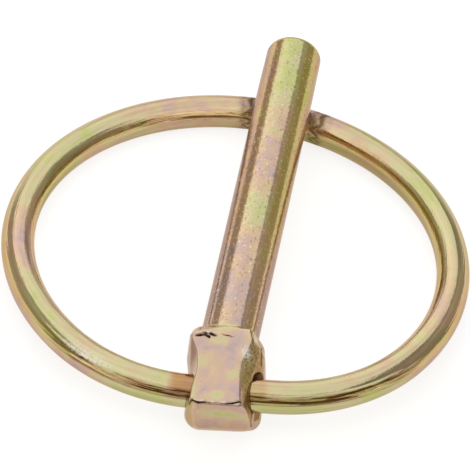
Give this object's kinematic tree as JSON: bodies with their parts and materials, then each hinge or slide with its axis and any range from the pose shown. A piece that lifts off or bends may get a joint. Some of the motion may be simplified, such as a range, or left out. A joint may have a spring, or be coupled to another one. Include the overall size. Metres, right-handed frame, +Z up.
{
  "type": "linch pin",
  "caption": "Forged pin with a cross-drilled head and an open ring of spring wire that turns in the head and snaps over the pin's end to lock it in a hole.",
  "frame": {"origin": "centre of the overall box, on the floor the pin lies on", "axes": "+Z up, +Y from the head towards the pin's tip along the ring's middle line, X along the cross hole in the head"},
  "size_m": [0.0494, 0.0533, 0.0098],
  "materials": {
    "pin_plating": "yellow chromated zinc plating over forged steel, mottled straw, green and pink",
    "ring_plating": "yellow chromated zinc plating over drawn spring wire, with long drawing lines"
  },
  "bodies": {
    "pin": {"pin": "pin_plating"},
    "ring": {"ring": "ring_plating"}
  },
  "joints": [
    {"name": "ring_swing", "type": "hinge", "parent": "pin", "child": "ring", "pos_m": [-0.0012, -0.02222, 0.00308], "axis": [-1, 0, 0], "range_deg": [0, 347]}
  ]
}
